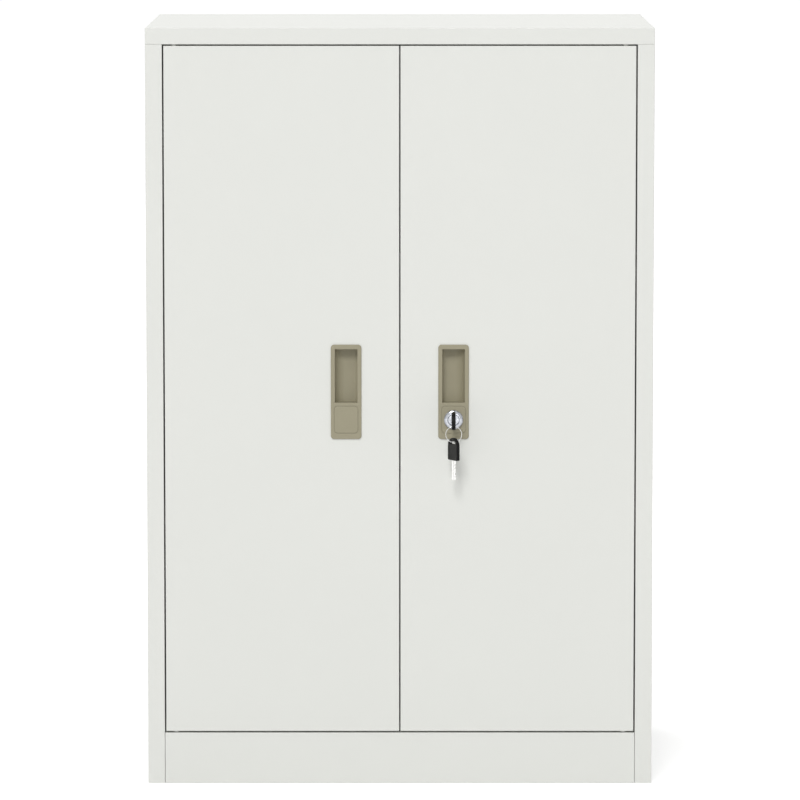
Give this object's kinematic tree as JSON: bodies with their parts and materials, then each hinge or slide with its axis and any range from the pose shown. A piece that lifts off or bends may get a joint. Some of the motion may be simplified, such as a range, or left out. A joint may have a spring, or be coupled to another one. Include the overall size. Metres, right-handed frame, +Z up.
{
  "type": "storage cabinet",
  "caption": "Free-standing steel storage cabinet with hinged doors, recessed handles, a key lock that drives two locking rods, and clip-mounted shelves inside.",
  "frame": {"origin": "on the floor, at the middle of the whole object's box in X and Y, keys included; the door faces lie at y = -0.181 m", "axes": "+Z up, +X to the right as seen from the front, +Y from the doors to the back"},
  "size_m": [0.6, 0.438, 0.9],
  "materials": {
    "powder_coat": "fine satin powder coat, warm white",
    "handle_plastic": "moulded taupe plastic with a fine matt grain",
    "key_plastic": "dark grey moulded plastic",
    "rubber": "soft black rubber",
    "nylon": "natural white nylon",
    "zinc": "bright zinc plate on steel",
    "chrome": "bright chrome plate",
    "steel": "polished nickel-plated steel"
  },
  "bodies": {
    "carcass": {"left_side_panel": "powder_coat", "right_side_panel": "powder_coat", "top_panel": "powder_coat", "door_stop": "powder_coat", "plinth": "powder_coat", "floor_panel": "powder_coat", "back_panel": "powder_coat", "front_left_upright": "zinc", "front_right_upright": "zinc", "rear_left_upright": "zinc", "rear_right_upright": "zinc", "lower_shelf": "powder_coat", "upper_shelf": "powder_coat", "lower_shelf_front_left_clip": "zinc", "lower_shelf_front_right_clip": "zinc", "lower_shelf_rear_left_clip": "zinc", "lower_shelf_rear_right_clip": "zinc", "upper_shelf_front_left_clip": "zinc", "upper_shelf_front_right_clip": "zinc", "upper_shelf_rear_left_clip": "zinc", "upper_shelf_rear_right_clip": "zinc", "left_top_bush": "nylon", "left_bottom_bush": "nylon", "right_top_bush": "nylon", "right_bottom_bush": "nylon", "upper_right_buffer": "rubber", "lower_right_buffer": "rubber", "lower_left_buffer": "rubber", "magnetic_catch": "key_plastic"},
    "left_door": {"left_door_panel": "powder_coat", "left_door_stiffener": "powder_coat", "left_handle": "handle_plastic", "left_handle_cover": "handle_plastic", "left_top_pivot": "zinc", "left_bottom_pivot": "zinc"},
    "right_door": {"right_door_panel": "powder_coat", "right_door_stiffener": "powder_coat", "right_handle": "handle_plastic", "right_handle_cover": "handle_plastic", "right_top_pivot": "zinc", "right_bottom_pivot": "zinc", "lock_barrel": "chrome", "lock_nut": "zinc", "upper_rod_guide": "nylon", "lower_rod_guide": "nylon"},
    "lock_core": {"lock_plug": "chrome", "rod_driver": "zinc", "driver_screw": "zinc"},
    "upper_locking_rod": {"upper_rod": "zinc"},
    "lower_locking_rod": {"lower_rod": "zinc"},
    "key": {"key_head": "key_plastic", "key_blade": "steel"},
    "ring": {"key_ring": "steel"},
    "spare_key": {"spare_key_head": "key_plastic", "spare_key_blade": "steel"}
  },
  "joints": [
    {"name": "left_door_hinge", "type": "hinge", "parent": "carcass", "child": "left_door", "pos_m": [-0.2661, -0.17398, 0.063], "axis": [0, 0, -1], "range_deg": [0, 115]},
    {"name": "right_door_hinge", "type": "hinge", "parent": "carcass", "child": "right_door", "pos_m": [0.2661, -0.17398, 0.063], "axis": [0, 0, 1], "range_deg": [0, 115]},
    {"name": "lock_turn", "type": "hinge", "parent": "right_door", "child": "lock_core", "pos_m": [0.0636, -0.18098, 0.4368], "axis": [0, 1, 0], "range_deg": [0, 90]},
    {"name": "upper_rod_slide", "type": "slide", "parent": "right_door", "child": "upper_locking_rod", "axis": [0, 0, 1], "range_m": [0, 0.01131]},
    {"name": "lower_rod_slide", "type": "slide", "parent": "right_door", "child": "lower_locking_rod", "axis": [0, 0, -1], "range_m": [0, 0.0114]},
    {"name": "key_pull", "type": "slide", "parent": "lock_core", "child": "key", "axis": [0, -1, 0], "range_m": [0, 0.026]},
    {"name": "ring_swing", "type": "hinge", "parent": "key", "child": "ring", "pos_m": [0.0636, -0.20938, 0.4316], "axis": [1, 0, 0], "range_deg": [-70, 15]},
    {"name": "spare_key_hang", "type": "hinge", "parent": "ring", "child": "spare_key", "pos_m": [0.0636, -0.20938, 0.4222], "axis": [0, 1, 0], "range_deg": [-95, 95]}
  ],
  "couplings": [
    {"joint": "lock_turn", "follows": "upper_rod_slide", "rad_per_m": 138.84},
    {"joint": "lower_rod_slide", "follows": "upper_rod_slide", "ratio": 1},
    {"joint": "spare_key_hang", "follows": "upper_rod_slide", "rad_per_m": -138.84}
  ]
}
